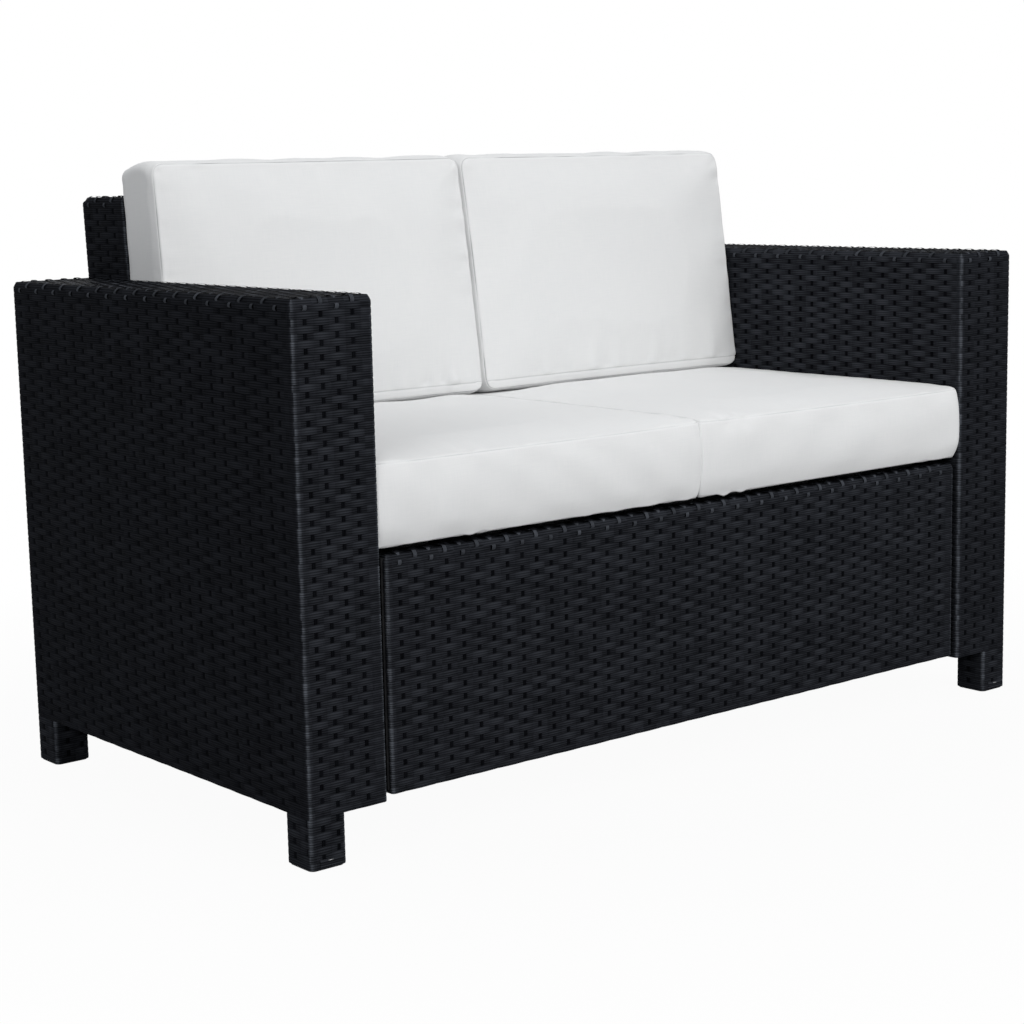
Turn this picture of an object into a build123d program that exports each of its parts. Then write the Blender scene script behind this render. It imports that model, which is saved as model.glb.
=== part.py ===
from build123d import *
import math
import os

# A knock-down two-seat garden sofa: woven resin panels over welded box-tube frames,
# a strapped seat deck bolted between the arms, and four loose boxed cushions.
# Millimetres. X runs along the seat, Y to the rear, Z up. The origin lies on the
# ground, under the middle of the overall footprint.

# Overall sizes
overall_width = 1300.0
arm_depth = 684.0
arm_height = 678.0
arm_thickness = 113.0
leg_height = 64.0
leg_side = 50.0
back_height = 790.0
back_thickness = 113.0
back_bottom = 68.0
back_proud = 4.0
back_lean_degrees = 3.5
apron_bottom = 70.0
apron_top = 366.0
apron_thickness = 30.0
apron_recess = 3.0
panel_gap = 2.0

# Woven shells
skin_wall = 5.0
skin_corner = 8.0
back_top_round = 14.0
hem_width = 25.0

# Box tube
tube = 20.0
tube_wall = 1.2
post = leg_side - 2 * skin_wall
stile_width = 25.0

# Feet
glide_height = 4.0
glide_inset = 0.5
plug_length = 22.0
plug_slack = 0.15
plug_wall = 3.0

# Seat deck
deck_tube = 25.0
deck_gap = 0.5
strap_width = 50.0
strap_thickness = 2.0
strap_lap = 15.0
crossbar_count = 3
fore_strap_count = 9
side_strap_count = 4
strap_rivet_head = 5.0
strap_rivet_rise = 1.2
strap_rivet_sides = 8

# Lugs welded to the back and apron frames
lug_thickness = 4.0
lug_reach = 48.0
lug_height = 34.0
lug_bolt_inset = 34.0
lower_lug_height = 112.0
upper_lug_height = 300.0

# Fasteners, metric six
bolt_diameter = 6.0
bolt_hole = 6.5
bolt_head_across = 10.0
bolt_head_height = 4.0
washer_diameter = 12.0
washer_thickness = 1.6
nut_body = 9.0
nut_length = 15.0
nut_slack = 0.05
thread_slack = 0.05

# Cushions
cushion_gap = 0.4
seat_rise = 0.4
seat_cushion_height = 105.0
seat_crown = 12.0
back_cushion_thickness = 86.0
back_cushion_height = 357.0
back_crown = 14.0
cushion_corner = 24.0
cushion_draw = 4.0
edge_roll = 16.0

overrun = 1.0

# Lines worked out from the sizes above
half_width = overall_width / 2
arm_inside = half_width - arm_thickness
overall_depth = arm_depth + back_proud
arm_front = -overall_depth / 2
arm_rear = arm_front + arm_depth
lean = math.tan(math.radians(back_lean_degrees))
panel_side = arm_inside - panel_gap
apron_front = arm_front + apron_recess
apron_rear = apron_front + apron_thickness
deck_top = apron_top - 2 * strap_thickness


def back_front_at(height):
    """Y of the back panel's front face at a height; the panel leans to the rear."""
    widest = back_height - back_top_round
    return arm_rear + back_proud - back_thickness - (widest - height) * lean


def back_rear_at(height):
    """Y of the back panel's rear face at a height."""
    return back_front_at(height) + back_thickness


def span(x0, x1, y0, y1, z0, z1):
    """A block between two corners, given as three pairs."""
    middle = Pos((x0 + x1) / 2, (y0 + y1) / 2, (z0 + z1) / 2)
    return middle * Box(x1 - x0, y1 - y0, z1 - z0)


def prism_x(points, x0, x1):
    """A closed outline in the YZ plane, run along X between two places."""
    corners = [Vector(x0, y, z) for y, z in points]
    face = make_face(Polyline(*corners, close=True).edges())
    return extrude(face, amount=x1 - x0, dir=(1, 0, 0))


def cylinder_x(radius, x0, x1, y, z):
    """A round bar or hole along X."""
    return Pos((x0 + x1) / 2, y, z) * Rot(0, 90, 0) * Cylinder(radius, abs(x1 - x0))


def hexagon_x(across, x0, x1, y, z):
    """A six-sided bar or hole along X, given across its flats."""
    outline = RegularPolygon(across / 2, 6, major_radius=False)
    return Pos(x0, y, z) * Rot(0, 90, 0) * extrude(outline, amount=x1 - x0)


def joined(pieces):
    """One solid from pieces that touch or overlap."""
    whole = pieces[0]
    for piece in pieces[1:]:
        whole = whole + piece
    return whole


def mirrored(shape):
    """The same piece on the other side of the seat."""
    return mirror(shape, about=Plane.YZ)


def turned_in_hole(y, z, x0, x1, radius):
    """A hole cutter along X that starts and ends past both faces."""
    return cylinder_x(radius, x0 - overrun, x1 + overrun, y, z)


# Places of the knock-down bolts, shared by the arms, lugs and deck
front_stile_y = apron_rear - skin_wall + lug_bolt_inset + lug_thickness
rear_lug_low_y = back_front_at(lower_lug_height) + skin_wall - lug_bolt_inset - lug_thickness
rear_lug_high_y = back_front_at(upper_lug_height) + skin_wall - lug_bolt_inset - lug_thickness
rear_stile_y = (rear_lug_low_y + rear_lug_high_y) / 2
deck_middle_z = deck_top - deck_tube / 2
lug_bolt_places = [
    (front_stile_y, lower_lug_height),
    (front_stile_y, upper_lug_height),
    (rear_lug_low_y, lower_lug_height),
    (rear_lug_high_y, upper_lug_height),
]
deck_bolt_places = [(front_stile_y, deck_middle_z), (rear_stile_y, deck_middle_z)]


def tube_pair(x0, x1, y0, y1, z0, z1, open_below=False):
    """The outside and the bore of one length of box tube."""
    foot = z0 - overrun if open_below else z0 + tube_wall
    outside = span(x0, x1, y0, y1, z0, z1)
    bore = span(x0 + tube_wall, x1 - tube_wall, y0 + tube_wall, y1 - tube_wall, foot, z1 - tube_wall)
    return outside, bore


def weldment(pairs):
    """Tubes welded into one frame; their bores run together inside, so it drains."""
    outsides = joined([outside for outside, bore in pairs])
    bores = joined([bore for outside, bore in pairs])
    return outsides - bores


def arm_frame():
    """Box frame of the right arm: two leg posts, inner posts and stiles, rails and ties."""
    out_face = half_width - skin_wall
    in_face = arm_inside + skin_wall
    front = arm_front + skin_wall
    rear = arm_rear - skin_wall
    low, high = leg_height + skin_wall, arm_height - skin_wall
    pairs = []
    for y0 in (front, rear - post):
        pairs.append(tube_pair(out_face - post, out_face, y0, y0 + post, glide_height, high, True))
    for y0 in (front, rear - tube):
        pairs.append(tube_pair(in_face, in_face + tube, y0, y0 + tube, low, high))
    for middle in (front_stile_y, rear_stile_y):
        y0, y1 = middle - stile_width / 2, middle + stile_width / 2
        pairs.append(tube_pair(in_face, in_face + tube, y0, y1, low, high))
        pairs.append(tube_pair(in_face + tube / 2, out_face - tube / 2, y0, y1, high - tube, high))
    for z0 in (low, high - tube):
        z1 = z0 + tube
        y0, y1 = front + tube / 2, rear - tube / 2
        pairs.append(tube_pair(in_face, in_face + tube, y0, y1, z0, z1))
        pairs.append(tube_pair(out_face - tube, out_face, y0, y1, z0, z1))
        x0, x1 = in_face + tube / 2, out_face - post / 2
        pairs.append(tube_pair(x0, x1, front, front + tube, z0, z1))
        pairs.append(tube_pair(x0, x1, rear - tube, rear, z0, z1))
    frame = weldment(pairs)
    for y, z in lug_bolt_places + deck_bolt_places:
        frame = frame - hexagon_x(nut_body + 2 * nut_slack, in_face - overrun, in_face + tube_wall + overrun, y, z)
    return frame


def rounded_block(x0, x1, y0, y1, z0, z1, corner):
    """A block with its four upright edges rounded."""
    block = span(x0, x1, y0, y1, z0, z1)
    return fillet(block.edges().filter_by(Axis.Z), corner)


def arm_skin():
    """Woven shell of the right arm, turned under at the bottom in a hem."""
    x0, x1, y0, y1 = arm_inside, half_width, arm_front, arm_rear
    outside = rounded_block(x0, x1, y0, y1, leg_height, arm_height, skin_corner)
    top_edges = outside.edges().group_by(Axis.Z)[-1]
    outside = chamfer(top_edges, skin_corner - skin_wall)
    hollow = span(x0 + skin_wall, x1 - skin_wall, y0 + skin_wall, y1 - skin_wall,
                  leg_height + skin_wall, arm_height - skin_wall)
    mouth = span(x0 + hem_width, x1 - hem_width, y0 + hem_width, y1 - hem_width,
                 leg_height - overrun, leg_height + skin_wall + overrun)
    skin = outside - hollow - mouth
    post_x0, post_x1 = x1 - skin_wall - post, x1 - skin_wall
    for post_y0 in (y0 + skin_wall, y1 - skin_wall - post):
        skin = skin - span(post_x0, post_x1, post_y0, post_y0 + post,
                           leg_height - overrun, leg_height + skin_wall + overrun)
    half = bolt_hole / 2
    for y, z in lug_bolt_places + deck_bolt_places:
        skin = skin - span(x0 - overrun, x0 + skin_wall + overrun, y - half, y + half, z - half, z + half)
    return skin


def leg_wrap(front_leg):
    """Woven sleeve on one leg stub of the right arm, under the arm's hem."""
    y0 = arm_front if front_leg else arm_rear - leg_side
    x0 = half_width - leg_side
    sleeve = rounded_block(x0, half_width, y0, y0 + leg_side, glide_height, leg_height, skin_corner)
    bore = span(x0 + skin_wall, half_width - skin_wall, y0 + skin_wall, y0 + leg_side - skin_wall,
                glide_height - overrun, leg_height + overrun)
    return sleeve - bore


def foot_glide(front_leg):
    """Plastic foot: a flange under the sleeve and a hollow plug up the post's bore."""
    y = (arm_front if front_leg else arm_rear - leg_side) + leg_side / 2
    x = half_width - leg_side / 2
    flange_side = leg_side - 2 * glide_inset
    flange = Pos(x, y, glide_height / 2) * Box(flange_side, flange_side, glide_height)
    flange = fillet(flange.edges().filter_by(Axis.Z), skin_corner - glide_inset)
    plug_side = post - 2 * tube_wall - 2 * plug_slack
    bore = plug_side - 2 * plug_wall
    plug = Box(plug_side, plug_side, plug_length) - Box(bore, bore, plug_length + overrun)
    return flange + Pos(x, y, glide_height + plug_length / 2) * plug


def leaning_pair(x0, x1, forward_offset, depth, z0, z1, open_below=False):
    """Outside and bore of an upright tube that follows the back panel's lean."""
    def outline(margin, bottom, top):
        return [
            (back_front_at(bottom) + forward_offset + margin, bottom),
            (back_front_at(bottom) + forward_offset + depth - margin, bottom),
            (back_front_at(top) + forward_offset + depth - margin, top),
            (back_front_at(top) + forward_offset + margin, top),
        ]
    foot = z0 - overrun if open_below else z0 + tube_wall
    outside = prism_x(outline(0, z0, z1), x0, x1)
    bore = prism_x(outline(tube_wall, foot, z1 - tube_wall), x0 + tube_wall, x1 - tube_wall)
    return outside, bore


def back_frame():
    """Box frame of the leaning back, with four angle lugs that reach past its weave."""
    side = panel_side - skin_wall
    low, high = back_bottom + skin_wall, back_height - skin_wall
    depth = back_thickness - 2 * skin_wall
    rear_offset = skin_wall + depth - tube
    pairs = []
    for offset in (skin_wall, rear_offset):
        for x0 in (-side, -tube / 2, side - tube):
            pairs.append(leaning_pair(x0, x0 + tube, offset, tube, low, high, True))
        for z0 in (low, high - tube):
            pairs.append(leaning_pair(-side + tube / 2, side - tube / 2, offset, tube, z0, z0 + tube))
    for x0 in (-side, -tube / 2, side - tube):
        for z0 in (low, high - tube):
            middle = tube / 2
            pairs.append(leaning_pair(x0, x0 + tube, skin_wall + middle, depth - tube, z0, z0 + tube))
    frame = weldment(pairs)
    for height in (lower_lug_height, upper_lug_height):
        face_y = back_front_at(height) + skin_wall
        lug = angle_lug(height, face_y, -1, side)
        frame = frame + lug + mirrored(lug)
    return frame


def angle_lug(height, face_y, toward, side):
    """Angle-section lug: one leg welded to a post's face, the other along the arm."""
    z0, z1 = height - lug_height / 2, height + lug_height / 2
    near, far = face_y, face_y + toward * lug_thickness
    reach = face_y + toward * lug_reach
    root = face_y - toward * tube_wall
    welded = span(side - tube, arm_inside, min(root, far), max(root, far), z0, z1)
    relief = span(side, arm_inside, min(root, near), max(root, near), z0 - overrun, z1 + overrun)
    welded = welded - relief
    along = span(arm_inside - lug_thickness, arm_inside, min(near, reach), max(near, reach), z0, z1)
    bolt_y = face_y + toward * (lug_bolt_inset + lug_thickness)
    hole = turned_in_hole(bolt_y, height, arm_inside - lug_thickness, arm_inside, bolt_hole / 2)
    return welded + along - hole


def lug_slot(height, face_y, toward, side):
    """Cut in a panel's weave where a lug comes out at the corner."""
    z0, z1 = height - lug_height / 2 - panel_gap / 2, height + lug_height / 2 + panel_gap / 2
    y_in = face_y - toward * skin_wall
    y_out = face_y + toward * (skin_wall + lug_height * lean + overrun)
    return span(side - tube - panel_gap / 2, arm_inside + overrun, min(y_in, y_out), max(y_in, y_out), z0, z1)


def back_skin():
    """Woven shell of the leaning back, softer over its rear top edge."""
    def outline(margin):
        low, high = back_bottom + margin, back_height - margin
        return [
            (back_front_at(low) + margin, low),
            (back_rear_at(low) - margin, low),
            (back_rear_at(high) - margin, high),
            (back_front_at(high) + margin, high),
        ]
    outside = prism_x(outline(0), -panel_side, panel_side)
    top_edges = outside.edges().filter_by(Axis.X).group_by(Axis.Z)[-1].sort_by(Axis.Y)
    outside = fillet(top_edges[-1], back_top_round)
    top_front = outside.edges().filter_by(Axis.X).group_by(Axis.Z)[-1].sort_by(Axis.Y)[0]
    outside = chamfer(top_front, skin_corner - skin_wall)
    side = panel_side - skin_wall
    hollow = prism_x(outline(skin_wall), -side, side)
    mouth_y0 = back_front_at(back_bottom) + hem_width
    mouth_y1 = back_rear_at(back_bottom) - hem_width
    mouth = span(-panel_side + hem_width, panel_side - hem_width, mouth_y0, mouth_y1,
                 back_bottom - overrun, back_bottom + skin_wall + overrun)
    skin = outside - hollow - mouth
    for height in (lower_lug_height, upper_lug_height):
        slot = lug_slot(height, back_front_at(height) + skin_wall, -1, side)
        skin = skin - slot - mirrored(slot)
    return skin


def apron_frame():
    """Single-plane frame of the front panel, with four angle lugs at its rear."""
    side = panel_side - skin_wall
    y0, y1 = apron_front + skin_wall, apron_rear - skin_wall
    low, high = apron_bottom + skin_wall, apron_top - skin_wall
    pairs = []
    for z0 in (low, high - tube):
        pairs.append(tube_pair(-side + tube / 2, side - tube / 2, y0, y1, z0, z0 + tube))
    for x0 in (-side, -side / 3 - tube / 2, side / 3 - tube / 2, side - tube):
        pairs.append(tube_pair(x0, x0 + tube, y0, y1, low, high, True))
    frame = weldment(pairs)
    for height in (lower_lug_height, upper_lug_height):
        lug = angle_lug(height, y1, 1, side)
        frame = frame + lug + mirrored(lug)
    return frame


def apron_skin():
    """Woven shell of the front panel."""
    outside = rounded_block(-panel_side, panel_side, apron_front, apron_rear,
                            apron_bottom, apron_top, skin_corner)
    outside = chamfer(outside.edges().group_by(Axis.Z)[-1], skin_corner - skin_wall)
    side = panel_side - skin_wall
    hollow = span(-side, side, apron_front + skin_wall, apron_rear - skin_wall,
                  apron_bottom + skin_wall, apron_top - skin_wall)
    skin = outside - hollow
    for height in (lower_lug_height, upper_lug_height):
        slot = lug_slot(height, apron_rear - skin_wall, 1, side)
        skin = skin - slot - mirrored(slot)
    return skin


# Seat deck
deck_front = apron_rear + deck_gap
deck_rear = back_front_at(deck_top - deck_tube) - deck_gap


def open_tube(x0, x1, y0, y1, z0, z1, run):
    """A straight length of box tube, open at both ends, along X or Y."""
    outside = span(x0, x1, y0, y1, z0, z1)
    if run == "x":
        bore = span(x0 - overrun, x1 + overrun, y0 + tube_wall, y1 - tube_wall, z0 + tube_wall, z1 - tube_wall)
    else:
        bore = span(x0 + tube_wall, x1 - tube_wall, y0 - overrun, y1 + overrun, z0 + tube_wall, z1 - tube_wall)
    return outside - bore


def deck_side_rail():
    """Right side rail of the seat deck, drilled for its two bolts into the arm."""
    x0, x1 = arm_inside - deck_tube, arm_inside
    rail = open_tube(x0, x1, deck_front, deck_rear, deck_top - deck_tube, deck_top, "y")
    for y, z in deck_bolt_places:
        rail = rail - turned_in_hole(y, z, x0, x1, bolt_hole / 2)
    return rail


def deck_cross_rail(y0):
    """Front or rear rail of the seat deck, butt-welded between the side rails."""
    reach = arm_inside - deck_tube
    return open_tube(-reach, reach, y0, y0 + deck_tube, deck_top - deck_tube, deck_top, "x")


def deck_crossbars():
    """Bars that carry the straps between the front and rear rails."""
    pitch = 2 * (arm_inside - deck_tube) / (crossbar_count + 1)
    y0, y1 = deck_front + deck_tube, deck_rear - deck_tube
    bars = []
    for index in range(crossbar_count):
        x = (index + 1) * pitch - (arm_inside - deck_tube)
        bars.append(open_tube(x - tube / 2, x + tube / 2, y0, y1, deck_top - tube, deck_top, "y"))
    return Compound(bars)


def strap_places(count, low, high):
    """Centres of evenly spread straps between two lines."""
    pitch = (high - low) / count
    return [low + (index + 0.5) * pitch for index in range(count)]


fore_strap_x = strap_places(fore_strap_count, -(arm_inside - deck_tube), arm_inside - deck_tube)
side_strap_y = strap_places(side_strap_count, deck_front + deck_tube, deck_rear - deck_tube)


def fore_straps():
    """Webbing from the front rail to the rear rail, lying on both."""
    y0, y1 = deck_front + deck_tube - strap_lap, deck_rear - deck_tube + strap_lap
    half = strap_width / 2
    return Compound([
        span(x - half, x + half, y0, y1, deck_top, deck_top + strap_thickness) for x in fore_strap_x
    ])


def side_straps():
    """Webbing from arm to arm over the first set, stepped down on to the side rails."""
    reach = arm_inside - deck_tube + strap_lap
    step = arm_inside - deck_tube - strap_thickness
    over, on = deck_top + strap_thickness, deck_top
    half = strap_width / 2
    outline = [
        (-reach, on), (-step, on), (-step + strap_thickness, over), (step - strap_thickness, over),
        (step, on), (reach, on),
    ]
    back = [(x, z + strap_thickness) for x, z in reversed(outline)]
    straps = []
    for y in side_strap_y:
        corners = [Vector(x, y - half, z) for x, z in outline + back]
        face = make_face(Polyline(*corners, close=True).edges())
        straps.append(extrude(face, amount=strap_width, dir=(0, 1, 0)))
    return Compound(straps)


def low_rivet(x, y, z):
    """Low tapered head that pins a strap's end."""
    foot = RegularPolygon(strap_rivet_head, strap_rivet_sides)
    crest = RegularPolygon(strap_rivet_head / 2, strap_rivet_sides)
    return Pos(x, y, z) * loft([foot, Pos(0, 0, strap_rivet_rise) * crest])


def strap_rivets():
    """Rivet heads at both ends of every strap."""
    heads = []
    inset = strap_lap / 2
    for x in fore_strap_x:
        for y in (deck_front + deck_tube - inset, deck_rear - deck_tube + inset):
            heads.append(low_rivet(x, y, deck_top + strap_thickness))
    for y in side_strap_y:
        for x in (-(arm_inside - deck_tube) - inset, arm_inside - deck_tube + inset):
            heads.append(low_rivet(x, y, deck_top + strap_thickness))
    return Compound(heads)


# Fasteners of the right side, made at their places
def hex_bolt(seat_x, y, z):
    """Hex bolt along X: head inboard of its seat, shank out to the nut's far end."""
    shank = cylinder_x(bolt_diameter / 2, seat_x, nut_end, y, z)
    return shank + hexagon_x(bolt_head_across, seat_x - bolt_head_height, seat_x, y, z)


def flat_washer(x1, y, z):
    """Flat washer that spreads a bolt's head over the thin tube wall."""
    x0 = x1 - washer_thickness
    return cylinder_x(washer_diameter / 2, x0, x1, y, z) - turned_in_hole(y, z, x0, x1, bolt_hole / 2)


def rivet_nut(y, z):
    """Six-sided threaded sleeve set in the wall of the arm's stile."""
    sleeve = hexagon_x(nut_body, nut_start, nut_end, y, z)
    return sleeve - turned_in_hole(y, z, nut_start, nut_end, bolt_diameter / 2 + thread_slack)


nut_start = arm_inside + skin_wall
nut_end = nut_start + nut_length
rail_face = arm_inside - deck_tube
lug_face = arm_inside - lug_thickness


def both_sides(shapes):
    """Pieces of the right side with their twins on the left, as one group."""
    return Compound(shapes + [mirrored(shape) for shape in shapes])


rail_bolts = both_sides([hex_bolt(rail_face - washer_thickness, y, z) for y, z in deck_bolt_places])
lug_bolts = both_sides([hex_bolt(lug_face, y, z) for y, z in lug_bolt_places])
washers = both_sides([flat_washer(rail_face, y, z) for y, z in deck_bolt_places])
rivet_nuts = both_sides([rivet_nut(y, z) for y, z in lug_bolt_places + deck_bolt_places])


# Cushions
side_run_shares = (-0.6, 0.0, 0.6)
side_draw_shares = (0.7, 1.0, 0.7)
corner_turn_shares = (0.0, 0.25, 0.5, 0.75, 1.0)
seat_draw_shares = (1.0, 0.0, 1.0, 1.0)
back_draw_shares = (1.0, 1.0, 1.0, 0.0)


def drawn_outline(width, length, inset, height, draw_shares):
    """Rectangle with turned corners; its free sides pull in between them."""
    straight_w, straight_l = width / 2 - cushion_corner, length / 2 - cushion_corner
    points = []
    for quarter, side_share in enumerate(draw_shares):
        turn = quarter * math.pi / 2
        out, run = (straight_w, straight_l) if quarter % 2 == 0 else (straight_l, straight_w)
        pull = cushion_draw * side_share * (run - inset) / run
        path = []
        for run_share, draw_share in zip(side_run_shares, side_draw_shares):
            path.append((out - inset + cushion_corner - pull * draw_share, (run - inset) * run_share))
        for corner_share in corner_turn_shares:
            angle = corner_share * math.pi / 2
            path.append((
                out - inset + cushion_corner * math.cos(angle),
                run - inset + cushion_corner * math.sin(angle),
            ))
        for ahead, aside in path:
            x = ahead * math.cos(turn) - aside * math.sin(turn)
            y = ahead * math.sin(turn) + aside * math.cos(turn)
            points.append(Vector(x, y, height))
    return make_face(Polyline(*points, close=True).edges())


crown_inset_shares = (0.05, 0.12, 0.21, 0.32)
crown_rise_shares = (0.42, 0.74, 0.93, 1.0)
roll_inset_shares = (1.0, 0.50, 0.13, 0.0)
roll_rise_shares = (0.0, 0.13, 0.50, 1.0)


def boxed_cushion(width, length, thickness, crown, draw_shares):
    """Boxed cushion lying flat: rolled edges, drawn-in free sides and a crowned top."""
    levels = []
    for inset_share, rise_share in zip(roll_inset_shares, roll_rise_shares):
        levels.append((edge_roll * inset_share, edge_roll * rise_share))
    for inset_share, rise_share in zip(reversed(roll_inset_shares), reversed(roll_rise_shares)):
        levels.append((edge_roll * inset_share, thickness - edge_roll * rise_share))
    for inset_share, rise_share in zip(crown_inset_shares, crown_rise_shares):
        levels.append((edge_roll + min(width, length) * inset_share, thickness + crown * rise_share))
    sections = [drawn_outline(width, length, inset, height, draw_shares) for inset, height in levels]
    panels = loft(sections, ruled=True).faces()
    return Solid(Shell([Face(panel.outer_wire()) for panel in panels]))


seat_bottom = apron_top + seat_rise
seat_cushion_rear = back_front_at(seat_bottom) - cushion_gap
seat_cushion_width = arm_inside - 2 * cushion_gap
seat_cushion_length = seat_cushion_rear - arm_front


def seat_cushion():
    """Right seat cushion, flat on the deck."""
    body = boxed_cushion(seat_cushion_width, seat_cushion_length, seat_cushion_height, seat_crown,
                         seat_draw_shares)
    return Pos(arm_inside / 2, (arm_front + seat_cushion_rear) / 2, seat_bottom) * body


def lowered_on_to(piece, support, slope):
    """A piece let down along a slope until it lies one cushion gap off its support."""
    down = Vector(0, -math.sin(slope), -math.cos(slope))
    for settling in range(3):
        free = piece.distance_to(support) - cushion_gap
        piece = Pos(down * free) * piece
    return piece


def back_cushion(seat):
    """Right back cushion, standing on the seat cushion and leaning on the back."""
    body = boxed_cushion(seat_cushion_width, back_cushion_height, back_cushion_thickness, back_crown,
                         back_draw_shares)
    upright = Rot(90 - back_lean_degrees, 0, 0) * Pos(0, back_cushion_height / 2, 0) * body
    start_height = seat_bottom + seat_cushion_height + seat_crown
    rear_y = back_front_at(start_height) - cushion_gap
    standing = Pos(arm_inside / 2, rear_y, start_height) * upright
    return lowered_on_to(standing, seat, math.radians(back_lean_degrees))


right_skin, right_frame = arm_skin(), arm_frame()
right_seat = seat_cushion()
right_back = back_cushion(right_seat)
nodes = {
    "arm_frame_right": right_frame,
    "arm_frame_left": mirrored(right_frame),
    "arm_weave_right": right_skin,
    "arm_weave_left": mirrored(right_skin),
    "back_frame": back_frame(),
    "back_weave": back_skin(),
    "apron_frame": apron_frame(),
    "apron_weave": apron_skin(),
    "deck_rail_right": deck_side_rail(),
    "deck_rail_left": mirrored(deck_side_rail()),
    "deck_rail_front": deck_cross_rail(deck_front),
    "deck_rail_rear": deck_cross_rail(deck_rear - deck_tube),
    "deck_crossbars": deck_crossbars(),
    "seat_straps_fore": fore_straps(),
    "seat_straps_side": side_straps(),
    "strap_rivets": strap_rivets(),
    "rail_bolts": rail_bolts,
    "lug_bolts": lug_bolts,
    "washers": washers,
    "rivet_nuts": rivet_nuts,
    "seat_cushion_right": right_seat,
    "seat_cushion_left": mirrored(right_seat),
    "back_cushion_right": right_back,
    "back_cushion_left": mirrored(right_back),
}
for front_leg, place in ((True, "front"), (False, "rear")):
    wrap, glide = leg_wrap(front_leg), foot_glide(front_leg)
    nodes[f"leg_wrap_{place}_right"] = wrap
    nodes[f"leg_wrap_{place}_left"] = mirrored(wrap)
    nodes[f"foot_glide_{place}_right"] = glide
    nodes[f"foot_glide_{place}_left"] = mirrored(glide)

os.makedirs("parts", exist_ok=True)
for name, shape in nodes.items():
    export_step(shape, f"parts/{name}.step")
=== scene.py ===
import bpy
import math
import numpy as np
from mathutils import Matrix, Vector


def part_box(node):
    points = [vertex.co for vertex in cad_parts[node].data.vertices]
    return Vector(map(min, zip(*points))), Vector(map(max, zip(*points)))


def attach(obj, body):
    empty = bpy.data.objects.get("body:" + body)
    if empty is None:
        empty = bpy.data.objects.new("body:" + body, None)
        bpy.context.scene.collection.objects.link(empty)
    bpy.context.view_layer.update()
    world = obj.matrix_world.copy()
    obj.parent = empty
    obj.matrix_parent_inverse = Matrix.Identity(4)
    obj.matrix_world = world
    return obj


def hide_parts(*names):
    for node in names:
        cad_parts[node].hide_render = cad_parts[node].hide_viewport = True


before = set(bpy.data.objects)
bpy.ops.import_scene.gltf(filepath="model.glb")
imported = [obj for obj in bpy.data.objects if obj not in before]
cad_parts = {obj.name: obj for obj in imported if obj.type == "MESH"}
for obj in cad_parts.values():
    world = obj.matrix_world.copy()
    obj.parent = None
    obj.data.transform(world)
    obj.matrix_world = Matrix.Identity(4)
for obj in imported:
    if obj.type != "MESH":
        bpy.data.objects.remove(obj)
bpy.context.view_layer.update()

MM = 0.001
LEAN_DEGREES = 3.5
LEAN = math.tan(math.radians(LEAN_DEGREES))

# The woven strip: its pitch and section, how far it swings in and out, and where it stands
ROW_PITCH = 8.3 * MM
DIP_HALF = 2.8 * MM
WAVE = 1.1 * MM
SWELL = 0.25 * MM
BUMP = 0.05 * MM
WANDER = 0.12 * MM
CROWN = 0.30 * MM
LIP = 0.45 * MM
PROUD = 1.3 * MM
MIDDLE = PROUD - WAVE - CROWN
CORNER = 4.0 * MM
CORNER_CLEAR = 7 * MM
STEPS = 6
RIBS = 3
ACROSS = np.array([-1.0, -0.9, -0.32, 0.32, 0.9, 1.0])
RISE = CROWN * (1 - ACROSS ** 2) - LIP * (np.abs(ACROSS) > 0.95)
EDGE_SHADE = np.where(np.abs(ACROSS) > 0.95, 0.35, 1.0)

# The upright stakes, painted dark as shade in their recesses, and the straps that their folded ends make
# over a panel's top edge, painted pale as highlights
STAKE_HALF = 3.4 * MM
STAKE_BACK = 0.1 * MM
STAKE_BEND = 0.35 * MM
STAKE_PAINTED_SHADE = 0.08
STAKE_ACROSS = np.array([-1.0, -0.4, 0.4, 1.0])
STAKE_RISE = 0.25 * MM * (1 - STAKE_ACROSS ** 2)
STRAP_HALF = 2.8 * MM
STRAP_RISE = 0.4 * MM * (1 - STAKE_ACROSS ** 2)
STRAP_PAINTED_HIGHLIGHT = 0.82
STRAP_JITTER = 0.03
SLANT = 0.03
ARM_SLANT = 0.10

# A panel's top edge and the dark sheet of painted shade inside it; each drop is measured down from the top
# of the CAD solid
BORDER = 8.0 * MM
BORDER_DROP = 5.8 * MM
BORDER_TILT = math.radians(30)
BORDER_INSET = 1.7 * MM
BORDER_HALF = 4.5 * MM
BORDER_SWING = 0.25
# Extra painted light on the tilted border strip
BORDER_PAINTED_LIGHT = 0.03
TOP_INSET = 3.0 * MM
TOP_DROP = 3.4 * MM
STRAP_DROP = 2.4 * MM
SHEET_INSET = 3.0 * MM
SHEET_FOOT = 0.5 * MM
SHEET_TURN = 25 * MM
SHEET_BEVEL = 2.4 * MM
SHEET_DROP = 5.4 * MM
CLOSED = 1.0

rng = np.random.default_rng(7)


def node(tree, kind, place=(0, 0), **inputs):
    """A shader node with some of its sockets set or linked."""
    made = tree.nodes.new(kind)
    made.location = place
    for name, value in inputs.items():
        socket = made.inputs[name.replace("_", " ")]
        if isinstance(value, bpy.types.NodeSocket):
            tree.links.new(value, socket)
        else:
            socket.default_value = value
    return made


def math_node(tree, operation, *values):
    """The output of a math node with its inputs set or linked."""
    made = tree.nodes.new("ShaderNodeMath")
    made.operation = operation
    for socket, value in zip(made.inputs, values):
        if isinstance(value, bpy.types.NodeSocket):
            tree.links.new(value, socket)
        else:
            socket.default_value = value
    return made.outputs[0]


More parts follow.
